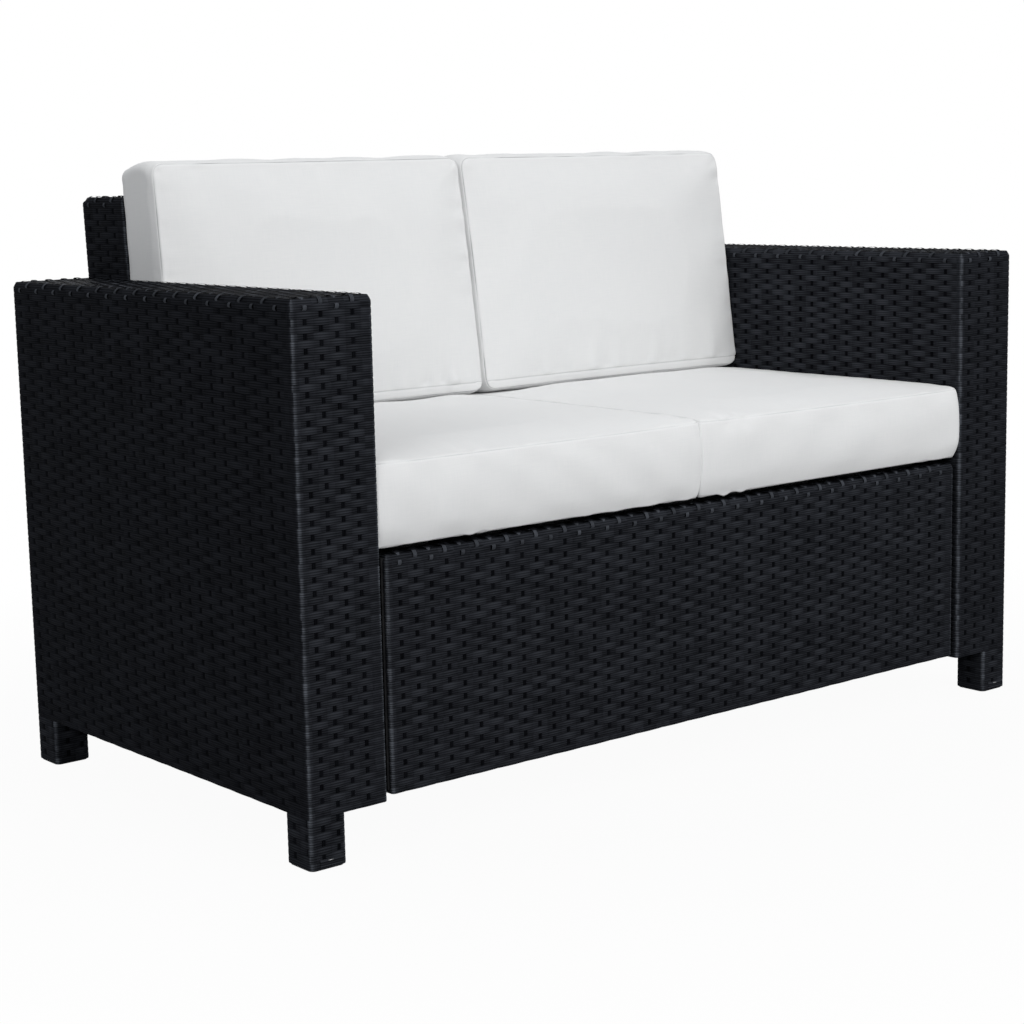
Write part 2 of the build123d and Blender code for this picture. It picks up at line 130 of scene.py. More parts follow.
def ramp(tree, factor, low, high, low_color, high_color):
    """A two-stop colour ramp."""
    made = tree.nodes.new("ShaderNodeValToRGB")
    made.color_ramp.elements[0].position = low
    made.color_ramp.elements[0].color = (*low_color, 1)
    made.color_ramp.elements[1].position = high
    made.color_ramp.elements[1].color = (*high_color, 1)
    tree.links.new(factor, made.inputs[0])
    return made.outputs[0]


def material(name, roughness=0.5, **sockets):
    """A new Principled material, its node tree and its shader."""
    made = bpy.data.materials.new(name)
    made.use_nodes = True
    tree = made.node_tree
    shader = tree.nodes["Principled BSDF"]
    shader.inputs["Roughness"].default_value = roughness
    for key, value in sockets.items():
        shader.inputs[key.replace("_", " ")].default_value = value
    return made, tree, shader


def resin_material():
    """Extruded flat strip: ribs along it, painted paler as highlight where it stands out, painted darker as
    shade where it dips back.
    """
    made, tree, shader = material("woven_resin", 0.5, Specular_IOR_Level=0.002)
    uv = node(tree, "ShaderNodeUVMap")
    uv.uv_map = "strip"
    split = node(tree, "ShaderNodeSeparateXYZ", Vector=uv.outputs[0])
    along, across = split.outputs[0], split.outputs[1]
    ribs = math_node(tree, "SINE", math_node(tree, "MULTIPLY", across, RIBS * 2 * math.pi))
    place = node(tree, "ShaderNodeTexCoord").outputs["Object"]
    grain = node(tree, "ShaderNodeTexNoise", Vector=place, Scale=900.0, Detail=3.0)
    patches = node(tree, "ShaderNodeTexNoise", Vector=place, Scale=26.0, Detail=2.0)
    strip = node(tree, "ShaderNodeTexWhiteNoise")
    strip.noise_dimensions = "1D"
    tree.links.new(math_node(tree, "FLOOR", along), strip.inputs["W"])
    wear = node(tree, "ShaderNodeAttribute")
    wear.attribute_name = "wear"
    # Painted highlight and shade: wear runs from near-black shade in the dips to a pale highlight on corners
    # and crests
    color = ramp(tree, wear.outputs["Fac"], 0.0, 1.0, (0.0018, 0.0020, 0.0028), (0.068, 0.074, 0.086))
    color.node.color_ramp.elements.new(0.5).color = (0.0160, 0.0172, 0.0208, 1)
    shade = math_node(tree, "ADD", math_node(tree, "MULTIPLY", strip.outputs[0], 0.4),
                      math_node(tree, "MULTIPLY", patches.outputs[0], 0.3))
    # Painted highlight on the rib crests; the strip and patch noise are random tone
    shade = math_node(tree, "ADD", shade, math_node(tree, "MULTIPLY", ribs, 0.30))
    both = node(tree, "ShaderNodeMix")
    both.data_type, both.blend_type = "RGBA", "MULTIPLY"
    both.inputs["Factor"].default_value = 1.0
    tree.links.new(color, both.inputs["A"])
    tree.links.new(ramp(tree, shade, 0.0, 0.7, (0.50,) * 3, (1.50,) * 3), both.inputs["B"])
    tree.links.new(both.outputs["Result"], shader.inputs["Base Color"])
    height = math_node(tree, "ADD", math_node(tree, "MULTIPLY", ribs, 0.5),
                       math_node(tree, "MULTIPLY", grain.outputs[0], 0.35))
    bump = node(tree, "ShaderNodeBump", Strength=1.0, Distance=0.0003, Height=height)
    tree.links.new(bump.outputs[0], shader.inputs["Normal"])
    rough = ramp(tree, patches.outputs[0], 0.3, 0.7, (0.42,) * 3, (0.58,) * 3)
    tree.links.new(rough, shader.inputs["Roughness"])
    return made


def shade_sheet_material():
    """A near-black sheet inside the shell, painted shade for the hollow seen only through the gaps of the
    weave.
    """
    made, tree, shader = material("weave_painted_shade", 0.75, Specular_IOR_Level=0.2)
    place = node(tree, "ShaderNodeTexCoord").outputs["Object"]
    noise = node(tree, "ShaderNodeTexNoise", Vector=place, Scale=180.0, Detail=3.0)
    color = ramp(tree, noise.outputs[0], 0.3, 0.7, (0.0015, 0.0015, 0.0018), (0.0035, 0.0035, 0.0042))
    tree.links.new(color, shader.inputs["Base Color"])
    return made


RESIN, SHADE_SHEET = resin_material(), shade_sheet_material()


class Loop:
    """A rounded rectangle run round its sides; stakes stand at the whole phases."""

    def __init__(self, x0, x1, y0, y1, counts, first=0.2, corner=CORNER):
        self.x0, self.x1, self.y0, self.y1, self.corner = x0, x1, y0, y1, corner
        self.counts = np.array(counts)
        self.first = first
        self.starts = np.concatenate(([0], np.cumsum(counts)))
        self.total = int(self.starts[-1])
        self.sizes = np.array([x1 - x0, y1 - y0] * 2)
        self.pitches = self.sizes / self.counts

    def side(self, phase):
        """Which of the four sides a phase lies on."""
        place = (np.asarray(phase, float) - self.first) % self.total
        return np.clip(np.searchsorted(self.starts, place, side="right") - 1, 0, 3)

    def phases(self):
        """Phases of a strip's points: even steps, with more of them round each corner."""
        even = np.arange(self.total * STEPS) / STEPS
        runs = self.sizes - 2 * self.corner * (1 - math.pi / 4)
        arcs = math.pi / 4 * self.corner * self.counts / runs
        extra = [self.first + self.starts[k] + share * arcs[k if share > 0 else k - 1]
                 for k in range(4) for share in (-1.0, -0.5, 0.0, 0.5, 1.0)]
        merged = np.sort(np.concatenate([even, np.array(extra) % self.total]))
        return merged[np.diff(merged, append=merged[0] + self.total) > 0.01]

    def at(self, phase, inset=0.0):
        """Points, outward normals and distances from the nearest corner, drawn in by inset."""
        side = self.side(phase)
        phase = (np.asarray(phase, float) - self.first) % self.total
        share = (phase - self.starts[side]) / self.counts[side]
        r = self.corner
        across = self.sizes[side]
        arc = math.pi / 4 * r
        run = across - 2 * r + 2 * arc
        s = share * run
        heading = np.array([-math.pi / 2, 0.0, math.pi / 2, math.pi])[side]
        turn = np.where(s < arc, s / arc - 1, np.where(s > run - arc, (s - run + arc) / arc, 0.0))
        angle = heading + turn * math.pi / 4
        normal = np.stack([np.cos(angle), np.sin(angle)], -1)
        cx = np.array([self.x0 + r, self.x1 - r, self.x1 - r, self.x0 + r])[side]
        cy = np.array([self.y0 + r, self.y0 + r, self.y1 - r, self.y1 - r])[side]
        forward = np.stack([-np.sin(heading), np.cos(heading)], -1)
        straight = np.clip(s - arc, 0, across - 2 * r)
        point = np.stack([cx, cy], -1) + forward * straight[..., None] + normal * (r - inset)
        return point, normal, np.minimum(s, run - s)


def mesh_piece(name, points, quads, uv, used, wear=None, body="root"):
    """One smooth mesh piece from arrays of points, quads and each corner's strip coordinates."""
    mesh = bpy.data.meshes.new(name)
    mesh.vertices.add(len(points))
    mesh.vertices.foreach_set("co", np.asarray(points, np.float32).ravel())
    mesh.loops.add(quads.size)
    mesh.loops.foreach_set("vertex_index", quads.astype(np.int32).ravel())
    mesh.polygons.add(len(quads))
    mesh.polygons.foreach_set("loop_start", np.arange(0, quads.size, 4, dtype=np.int32))
    mesh.polygons.foreach_set("use_smooth", np.ones(len(quads), bool))
    layer = mesh.uv_layers.new(name="strip")
    layer.data.foreach_set("uv", np.asarray(uv, np.float32)[quads.ravel()].ravel())
    mesh.update(calc_edges=True)
    # wear carries the painted highlight and shade of the resin
    if wear is not None:
        mesh.attributes.new("wear", "FLOAT", "POINT").data.foreach_set("value", wear.astype(np.float32))
    mesh.materials.append(used)
    piece = bpy.data.objects.new(name, mesh)
    bpy.context.scene.collection.objects.link(piece)
    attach(piece, body)
    return piece


def strip_quads(rows, columns, closed):
    """Quads of a grid of points, its first axis closed into a ring or open."""
    grid = np.arange(rows * columns).reshape(rows, columns)
    if closed:
        grid = np.concatenate([grid, grid[:1]])
    return np.stack([grid[:-1, :-1], grid[1:, :-1], grid[1:, 1:], grid[:-1, 1:]], -1).reshape(-1, 4)


class Weave:
    """Collects ribbons and turns them into mesh pieces."""

    def __init__(self):
        self.points, self.quads, self.uv, self.wear, self.count, self.strips = [], [], [], [], 0, 0

    def ribbon(self, points, along, across, wear, closed=False):
        """One ribbon: a row of points for each step along it; wear 0 is painted shade, 1 a painted
        highlight.
        """
        rows, columns = points.shape[:2]
        self.quads.append(strip_quads(rows, columns, closed) + self.count)
        self.points.append(points.reshape(-1, 3))
        across = np.broadcast_to((across + 1) / 2, (rows, columns))
        shade = np.broadcast_to(np.asarray(along)[:, None] + 41.0 * self.strips, (rows, columns))
        self.uv.append(np.stack([shade, across], -1).reshape(-1, 2))
        self.wear.append(np.broadcast_to(wear, (rows, columns)).ravel())
        self.count += rows * columns
        self.strips += 1

    def piece(self, name, shape=None):
        """All the ribbons so far as one piece, bent by shape if there is one."""
        points = np.concatenate(self.points)
        if shape is not None:
            points = shape(points)
        made = mesh_piece(name, points, np.concatenate(self.quads), np.concatenate(self.uv), RESIN,
                          np.concatenate(self.wear))
        return made


def over_under(phase, pitch):
    """Height of a strip over the middle of the weave: a long flat float, then a short dive behind a
    stake; pitch is the distance between stakes."""
    dip = DIP_HALF / pitch
    dive = np.clip((np.abs(phase % 2 - 1) - 0.5 * dip) / dip, 0, 1)
    return 2 * dive * dive * (3 - 2 * dive) - 1


def loop_strip(weave, loop, row, z, tilt=0.0, inset=0.0, half=0.5 * ROW_PITCH, swing=1.0,
               hug=(5 * MM, 12 * MM), extra_light=0.0, side_wear=(1.0, 1.0, 1.0, 1.0)):
    """One strip woven right round a loop, pulled flat round its corners, tilted at an edge; extra_light adds
    painted light and side_wear scales its painted light and shade on each side of the loop."""
    phase = loop.phases()
    side = loop.side(phase)
    flat, normal, corner = loop.at(phase, inset)
    free = np.clip((corner - hug[0]) / (hug[1] - hug[0]), 0, 1)
    free = swing * free * free * (3 - 2 * free)
    wave = 1 - free * (1 - over_under(phase + row, loop.pitches[side]))
    bumps = rng.normal(0, BUMP, loop.total)[phase.astype(int)]
    swell = np.cos(math.pi * (phase + row)) * free
    out = MIDDLE + WAVE * (0.8 * wave + 0.2) + SWELL * (swell - 1) + bumps * free
    wide = half * (1.03 + 0.01 * free + 0.10 * swell)
    lift = z + rng.normal(0, WANDER) + WANDER * np.sin(phase * 0.37 + row)
    rise, reach = math.sin(tilt), math.cos(tilt)
    outward = out[:, None] + RISE
    sideways = ACROSS * wide[:, None]
    radial = outward * reach - sideways * rise
    grid = np.empty((*radial.shape, 3))
    grid[..., :2] = flat[:, None] + normal[:, None] * radial[..., None]
    grid[..., 2] = lift[:, None] + outward * rise + sideways * reach
    # Painted shade and highlight: darker where the strip dives behind a stake, lighter where it stands out,
    # scaled side by side
    painted_level = (0.10 + extra_light + 0.20 * (1 + wave) + 0.06 * swell) * np.array(side_wear)[side]
    # Painted highlight down each corner, of random strength on each side
    painted_level += rng.uniform(0.15, 0.75, 4)[side] * np.exp(-(corner / (2.0 * MM)) ** 2)
    weave.ribbon(grid, phase + 0.5, ACROSS, painted_level[:, None] * EDGE_SHADE, closed=True)


def loop_stake(weave, loop, k, z0, z1, rows, nearest=CORNER_CLEAR):
    """One upright stake of a loop, behind the strips that pass over it and before the rest."""
    if loop.at(k)[2] < nearest:
        return
    steps = rows * 3 + 1
    place = np.linspace(0, rows, steps) - 0.5
    z = z0 + (z1 - z0) * np.linspace(0, 1, steps)
    out = MIDDLE - STAKE_BACK - STAKE_BEND * np.cos(math.pi * (place + k))
    near, far = loop.at([k - 0.25, k + 0.25])[0]
    share = 0.5 * STAKE_HALF / np.linalg.norm(far - near)
    flat, normal, _ = loop.at(k + STAKE_ACROSS * share)
    outward = out[:, None] + STAKE_RISE
    grid = np.empty((*outward.shape, 3))
    grid[..., :2] = flat + normal * outward[..., None]
    grid[..., 2] = z[:, None]
    # Stakes painted dark: painted shade in the recess behind the strips
    weave.ribbon(grid, place + 0.5, STAKE_ACROSS, STAKE_PAINTED_SHADE)


# Paths of the folded stake ends over the top edge, outwards and up from that edge
OVER_BORDER = np.array([(-24, 0.0), (-18, 1.3), (-11, 2.2), (-6, 2.3), (-2.4, 1.4), (0.4, -1.2),
                        (1.6, -3.4), (1.8, -5.0), (0.5, -6.8)]) * MM
UNDER_BORDER = np.array([(0.5, -6.4), (1.8, -7.8), (2.1, -9.6), (1.9, -11.6), (0.5, -13.2)]) * MM
ON_TOP = np.array([(-24, 0.0), (-18, 1.3), (-12, 2.2), (-7, 2.3), (-3.6, 1.2), (-2.2, -1.2)]) * MM


def tuck(weave, loop, k, top, path, slant, top_wear):
    """The folded end of a stake, drawn over the edge and tucked in under a strip."""
    along = path[:, 1:] - path[:, :1]
    share = STRAP_HALF / loop.pitches[loop.side(k)]
    flat, normal, _ = loop.at(k + STAKE_ACROSS * share + slant * (along - along.mean()) / ROW_PITCH)
    grid = np.empty((len(path), len(STAKE_ACROSS), 3))
    grid[..., :2] = flat + normal * (path[:, :1] + STRAP_RISE)[..., None]
    grid[..., 2] = top + path[:, 1:]
    # Painted highlight where the strap turns over the edge; top_wear sets the painted light of its part on
    # the top
    wear = np.where(path[:, :1] > -4 * MM, STRAP_PAINTED_HIGHLIGHT, top_wear)
    weave.ribbon(grid, np.full(len(path), 0.5), STAKE_ACROSS, wear)


def flat_top(weave, x0, x1, y0, y1, z, rows, stakes, along_x):
    """The woven top of a panel: strips along it over stakes that cross it."""
    length, width = (x1 - x0, y1 - y0) if along_x else (y1 - y0, x1 - x0)
    pitch = width / rows

    def put(s, t, height):
        grid = np.empty((*height.shape, 3))
        u, w = (x0 + s, y0 + t) if along_x else (x0 + t, y0 + s)
        grid[..., 0], grid[..., 1], grid[..., 2] = u, w, z + height
        return grid

    phase = np.arange(stakes * STEPS + 1) / STEPS
    for row in range(rows):
        wave = over_under(phase + row, length / stakes)
        crest = 0.5 + 0.5 * np.cos(math.pi * (phase + row))
        # Painted highlights on the crests of the top's strips, stronger at some stakes than at others
        highlight_scatter = rng.uniform(0.4, 1.6, stakes + 1)[phase.astype(int)]
        t = (row + 0.5) * pitch + ACROSS * (0.5 * pitch * (1.04 + 0.12 * wave))[:, None]
        height = (MIDDLE + WAVE * wave)[:, None] + RISE
        weave.ribbon(put((phase / stakes * length)[:, None], t, height), phase + 0.5, ACROSS,
                     (0.02 + 0.74 * crest ** 4 * highlight_scatter)[:, None] * EDGE_SHADE)
    place = np.linspace(0, rows, rows * 3 + 1) - 0.5
    for k in range(stakes + 1):
        s = np.clip(k / stakes * length + STAKE_ACROSS * STAKE_HALF, 0, length)
        t = ((place + 0.5) * pitch)[:, None]
        height = (MIDDLE - STAKE_BACK - STAKE_BEND * np.cos(math.pi * (place + k)))[:, None]
        weave.ribbon(put(s, t, height + STAKE_RISE), place + 0.5, STAKE_ACROSS, STAKE_PAINTED_SHADE)


def shell(name, loop, levels, shape=None):
    """The closed dark sheet of painted shade inside a panel: its loop at (inset, height) levels, capped at
    the last.
    """
    phase = loop.phases()[::2]
    rings = []
    for inset, z in levels:
        flat = loop.at(phase, min(inset, CORNER - 0.5 * MM))[0]
        extra = max(inset - CORNER + 0.5 * MM, 0)
        middle = np.array([(loop.x0 + loop.x1) / 2, (loop.y0 + loop.y1) / 2])
        half = np.array([loop.x1 - loop.x0, loop.y1 - loop.y0]) / 2 - CORNER + 0.5 * MM
        flat = middle + (flat - middle) * np.maximum(1 - extra / half, 0.0)
        rings.append(np.concatenate([flat, np.full((len(flat), 1), z)], 1))
    points = np.stack(rings, 1)
    quads = strip_quads(*points.shape[:2], closed=True)
    points = points.reshape(-1, 3)
    if shape is not None:
        points = shape(points)
    made = mesh_piece(name, points, quads, np.zeros((len(points), 2)), SHADE_SHEET)
    return made


def woven_panel(name, replaced, counts, parts, top_along_x, shape=None, box=None, top_wear=0.62,
                side_wear=(1.0, 1.0, 1.0, 1.0)):
    """A whole woven panel in place of its CAD node: strips, stakes, top, tucked ends and a dark sheet of
    painted shade inside; counts and side_wear go round its front, right, rear and left side."""
    low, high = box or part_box(replaced)
    loop = Loop(low.x, high.x, low.y, high.y, counts)
    wall_top = high.z - BORDER
    rows = int(round((wall_top - low.z) / ROW_PITCH))
    pitch = (wall_top - low.z) / rows
    per_part = math.ceil(rows / parts)
    for part in range(parts):
        weave = Weave()
        for row in range(part * per_part, min((part + 1) * per_part, rows)):
            swing = 0.3 if row == 0 else 1.0
            loop_strip(weave, loop, row, low.z + (row + 0.5) * pitch, half=0.5 * pitch, swing=swing,
                       side_wear=side_wear)
        if part == parts - 1:
            loop_strip(weave, loop, rows, high.z - BORDER_DROP, BORDER_TILT, BORDER_INSET, BORDER_HALF,
                       BORDER_SWING, extra_light=BORDER_PAINTED_LIGHT, side_wear=side_wear)
        weave.piece(f"{name}_strips_{part + 1}", shape)
    weave = Weave()
    for k in range(loop.total):
        loop_stake(weave, loop, k, low.z, wall_top, rows)
    weave.piece(f"{name}_stakes", shape)
    weave = Weave()
    x0, x1, y0, y1 = low.x + TOP_INSET, high.x - TOP_INSET, low.y + TOP_INSET, high.y - TOP_INSET
    width, stakes = (y1 - y0, counts[0]) if top_along_x else (x1 - x0, counts[1])
    top_rows = int(round(width / ROW_PITCH))
    flat_top(weave, x0, x1, y0, y1, high.z - TOP_DROP, top_rows, stakes, top_along_x)
    for k in range(loop.total):
        if loop.at(k)[2] < CORNER_CLEAR:
            continue
        slant = ARM_SLANT if loop.side(k) in (1, 3) and not top_along_x else SLANT
        for path in (OVER_BORDER,) if (k + rows) % 2 else (ON_TOP, UNDER_BORDER):
            place = k + rng.normal(0, STRAP_JITTER)
            tuck(weave, loop, place, high.z - STRAP_DROP, path, slant, top_wear)
    weave.piece(f"{name}_top", shape)
    foot, shoulder, lid = low.z + SHEET_FOOT, high.z - BORDER, high.z - SHEET_DROP
    shell(f"{name}_shade_sheet", loop, [(SHEET_TURN, foot), (SHEET_INSET, foot), (SHEET_INSET, shoulder),
                                   (SHEET_INSET + SHEET_BEVEL, lid), (CLOSED, lid)], shape)
    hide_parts(replaced)


# Painted light on an arm's front, right, rear and left side: its inner side is painted lightest, its outer
# side darkest, as the light falls
ARM_PAINTED_LIGHT = {"left": (1.0, 1.08, 1.0, 0.66), "right": (0.92, 0.66, 1.0, 1.08)}
for side, sides_painted_light in ARM_PAINTED_LIGHT.items():
    woven_panel(f"arm_{side}", f"arm_weave_{side}", (5, 28, 5, 28), 2, False, side_wear=sides_painted_light)

apron_low, apron_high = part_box("apron_weave")
END_GAP = Vector((9 * MM, 0, 0))
woven_panel("apron", "apron_weave", (44, 1, 44, 1), 2, True,
            box=(apron_low + END_GAP, apron_high - END_GAP), top_wear=0.25)

BACK_ROUND = 14 * MM
back_low, back_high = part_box("back_weave")
back_depth = (back_high.y - back_low.y) - (back_high.z - BACK_ROUND - back_low.z) * LEAN


def leaned(points):
    """The upright back panel with its rear top edge rounded and then leaned to the rear."""
    y1, z1, r = back_low.y + back_depth, back_high.z, BACK_ROUND
    v = np.stack([points[:, 1] - (y1 - r), points[:, 2] - (z1 - r)], -1)
    corner = (v > 0).all(1)
    size = np.linalg.norm(v, axis=1)
    share = np.where(corner & (size > 0), v.max(1) / np.maximum(size, 1e-9), 1.0)
    points = points.copy()
    points[:, 1] = np.where(corner, y1 - r + v[:, 0] * share, points[:, 1])
    points[:, 2] = np.where(corner, z1 - r + v[:, 1] * share, points[:, 2])
    points[:, 1] += (points[:, 2] - back_low.z) * LEAN
    return points


# Painted shade: the back panel's weave is painted darker on every side
woven_panel("back", "back_weave", (44, 5, 44, 5), 3, True, leaned,
            (back_low, Vector((back_high.x, back_low.y + back_depth, back_high.z))), side_wear=(0.72,) * 4)


def wire(name, points, radius, used):
    """A thin round wire along a few points, as a mesh."""
    curve = bpy.data.curves.new(name, "CURVE")
    curve.dimensions, curve.bevel_depth, curve.bevel_resolution = "3D", radius, 2
    spline = curve.splines.new("POLY")
    spline.points.add(len(points) - 1)
    for place, point in zip(spline.points, points):
        place.co = (*point, 1)
    drawn = bpy.data.objects.new(name, curve)
    mesh = bpy.data.meshes.new_from_object(drawn)
    bpy.data.objects.remove(drawn)
    mesh.materials.clear()
    mesh.materials.append(used)
    piece = bpy.data.objects.new(name, mesh)
    bpy.context.scene.collection.objects.link(piece)
    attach(piece, "root")
    return piece


LEG_COUNTS = (2.2, 1.8, 2.2, 1.8)
LEG_ROWS = 7
LEG_REACH = 2.5 * MM


def woven_leg(end, side):
    """A leg's wrap goes on from the arm's rows; its last strip overlaps and is stapled."""
    replaced = f"leg_wrap_{end}_{side}"
    low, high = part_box(replaced)
    loop = Loop(low.x, high.x, low.y, high.y, LEG_COUNTS, 0.2 if side == "left" else 0.0)
    weave = Weave()
    bottom, rows = low.z - LEG_REACH, LEG_ROWS
    pitch = (high.z - bottom) / rows
    for row in range(rows):
        loop_strip(weave, loop, row - rows, bottom + (row + 0.5) * pitch, half=0.5 * pitch,
                   swing=0.0 if row == 0 else 1.0, hug=(3 * MM, 8 * MM))
    for k in range(loop.total):
        loop_stake(weave, loop, k, bottom + pitch, high.z, rows - 1, 4 * MM)
    lap = loop.first + (0.0 if end == "front" else 4.0) + np.linspace(0.5, 2.05, 8)
    flat, normal, _ = loop.at(lap)
    outward = PROUD + 0.7 * MM + RISE - 0.6 * MM * (np.arange(8) == 0)[:, None]
    grid = np.empty((*outward.shape, 3))
    grid[..., :2] = flat[:, None] + normal[:, None] * outward[..., None]
    grid[..., 2] = bottom + 0.8 * pitch + ACROSS * 0.5 * pitch
    # Painted light on the lapped strip, lighter towards its edges
    weave.ribbon(grid, lap * 0, ACROSS, 0.5 + 0.25 * (np.abs(ACROSS) > 0.5))
    made = weave.piece(f"leg_{end}_{side}_weave")
    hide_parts(replaced)
    # A dark sheet of painted shade inside the leg's wrap
    shell(f"leg_{end}_{side}_shade_sheet", loop,
          [(SHEET_INSET, high.z), (SHEET_INSET, bottom + 0.4 * MM), (7 * MM, bottom + 0.4 * MM)])
    centre, facing, _ = loop.at(lap[3])
    aside = np.array([-facing[1], facing[0]]) * 3 * MM
    crown_out, inside = centre + facing * (PROUD + 1.3 * MM), centre
    height = bottom + 1.1 * pitch
    staple = [(*(inside - aside), height), (*(crown_out - aside), height),
              (*(crown_out + aside), height), (*(inside + aside), height)]
    wire(f"leg_{end}_{side}_staple", staple, 0.45 * MM, STAPLE)


STAPLE = material("staple_wire", 0.4, Metallic=0.8, Base_Color=(0.30, 0.30, 0.31, 1))[0]
for end in ("front", "rear"):
    for side in ("left", "right"):
        woven_leg(end, side)


def plain_material(name, colors, roughness, scale, bump, metallic=0.0, gloss=0.3):
    """A procedural finish for the hidden structure: mottled colour and a fine surface."""
    made, tree, shader = material(name, roughness, Metallic=metallic, Specular_IOR_Level=gloss)
    place = node(tree, "ShaderNodeTexCoord").outputs["Object"]
    noise = node(tree, "ShaderNodeTexNoise", Vector=place, Scale=scale, Detail=4.0)
    tree.links.new(ramp(tree, noise.outputs[0], 0.35, 0.65, *colors), shader.inputs["Base Color"])
    fine = node(tree, "ShaderNodeTexNoise", Vector=place, Scale=scale * 12, Detail=2.0)
    relief = node(tree, "ShaderNodeBump", Strength=0.4, Distance=bump, Height=fine.outputs[0])
    tree.links.new(relief.outputs[0], shader.inputs["Normal"])
    return made


def webbing_material():
    """Ribbed elastic webbing."""
    made, tree, shader = material("webbing", 0.85, Sheen_Weight=0.2)
    place = node(tree, "ShaderNodeTexCoord").outputs["Object"]
    split = node(tree, "ShaderNodeSeparateXYZ", Vector=place)
    pitch = 2 * math.pi / 0.0028
    one = math_node(tree, "SINE", math_node(tree, "MULTIPLY", split.outputs[0], pitch))
    two = math_node(tree, "SINE", math_node(tree, "MULTIPLY", split.outputs[1], pitch))
    height = math_node(tree, "MULTIPLY", one, two)
    tree.links.new(ramp(tree, height, 0.0, 1.0, (0.010, 0.010, 0.011), (0.032, 0.032, 0.034)),
                   shader.inputs["Base Color"])
    relief = node(tree, "ShaderNodeBump", Strength=0.6, Distance=0.0003, Height=height)
    tree.links.new(relief.outputs[0], shader.inputs["Normal"])
    return made


def fabric_material():
    """Off-white plain-weave polyester: fine threads both ways, slubs and a faint mottle."""
    made, tree, shader = material("cushion_fabric", 0.92, Sheen_Weight=0.25, Sheen_Roughness=0.5,
                                  Specular_IOR_Level=0.25)
    uv = node(tree, "ShaderNodeUVMap")
    uv.uv_map = "cloth"
    split = node(tree, "ShaderNodeSeparateXYZ", Vector=uv.outputs[0])
    pitch = 2 * math.pi / 0.0011
    warp = math_node(tree, "SINE", math_node(tree, "MULTIPLY", split.outputs[0], pitch))
    weft = math_node(tree, "SINE", math_node(tree, "MULTIPLY", split.outputs[1], pitch))
    threads = math_node(tree, "MULTIPLY", math_node(tree, "ADD", warp, weft), 0.5)
    stretched = node(tree, "ShaderNodeMapping", Vector=uv.outputs[0])
    stretched.inputs["Scale"].default_value = (35.0, 700.0, 1.0)
    slubs = node(tree, "ShaderNodeTexNoise", Vector=stretched.outputs[0], Scale=1.0, Detail=2.0)
    turned = node(tree, "ShaderNodeMapping", Vector=uv.outputs[0])
    turned.inputs["Scale"].default_value = (700.0, 35.0, 1.0)
    slubs_two = node(tree, "ShaderNodeTexNoise", Vector=turned.outputs[0], Scale=1.0, Detail=2.0)
    mottle = node(tree, "ShaderNodeTexNoise", Vector=uv.outputs[0], Scale=9.0, Detail=4.0)
    lines = math_node(tree, "ADD", math_node(tree, "MULTIPLY", slubs.outputs[0], 0.5),
                      math_node(tree, "MULTIPLY", slubs_two.outputs[0], 0.5))
    shade = math_node(tree, "ADD", math_node(tree, "MULTIPLY", lines, 0.75),
                      math_node(tree, "MULTIPLY", mottle.outputs[0], 0.25))
    color = ramp(tree, shade, 0.30, 0.70, (0.785, 0.790, 0.792), (0.838, 0.838, 0.832))
    # Painted shade: the seam attribute darkens the cloth to grey in the seam grooves
    seam = node(tree, "ShaderNodeAttribute")
    seam.attribute_name = "seam"
    mixed = node(tree, "ShaderNodeMix")
    mixed.data_type = "RGBA"
    tree.links.new(seam.outputs["Fac"], mixed.inputs["Factor"])
    tree.links.new(color, mixed.inputs["A"])
    mixed.inputs["B"].default_value = (0.30, 0.30, 0.31, 1)
    tree.links.new(mixed.outputs["Result"], shader.inputs["Base Color"])
    height = math_node(tree, "ADD", math_node(tree, "MULTIPLY", threads, 0.35), lines)
    relief = node(tree, "ShaderNodeBump", Strength=0.16, Distance=0.0004, Height=height)
    tree.links.new(relief.outputs[0], shader.inputs["Normal"])
    return made


FABRIC = fabric_material()
STEEL = plain_material("frame_steel", ((0.008, 0.008, 0.009), (0.015, 0.015, 0.016)), 0.62, 60.0, 0.0001,
                       gloss=0.05)
ZINC = plain_material("fastener_zinc", ((0.42, 0.43, 0.44), (0.62, 0.62, 0.61)), 0.34, 220.0, 0.00006, 1.0)
FOOT = plain_material("foot_plastic", ((0.006, 0.006, 0.007), (0.012, 0.012, 0.013)), 0.6, 120.0, 0.0001)
WEBBING = webbing_material()
STEEL_NODES = ("arm_frame_left", "arm_frame_right", "back_frame", "apron_frame", "deck_rail_left",
               "deck_rail_right", "deck_rail_front", "deck_rail_rear", "deck_crossbars")
ZINC_NODES = ("strap_rivets", "rail_bolts", "lug_bolts", "washers", "rivet_nuts")
STRAP_NODES = ("seat_straps_fore", "seat_straps_side")
GLIDE_NODES = [f"foot_glide_{end}_{side}" for end in ("front", "rear") for side in ("left", "right")]
for finish, names in ((STEEL, STEEL_NODES), (ZINC, ZINC_NODES), (WEBBING, STRAP_NODES), (FOOT, GLIDE_NODES)):
    for name in names:
        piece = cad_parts[name]
        piece.data.materials.clear()
        piece.data.materials.append(finish)


# The cushions: the cells of a cover, half a seam's width in cells, and the simulation
CELL = 7.5 * MM
SEAM_REACH = 0.05
# Painted shade of a back cushion's low seam line
LOW_SEAM_SHADE = 0.36
PRESSURE = 5.0
MOST_SWELL = 14 * MM
FRAMES = 20
SEAM_PIN = 0.7


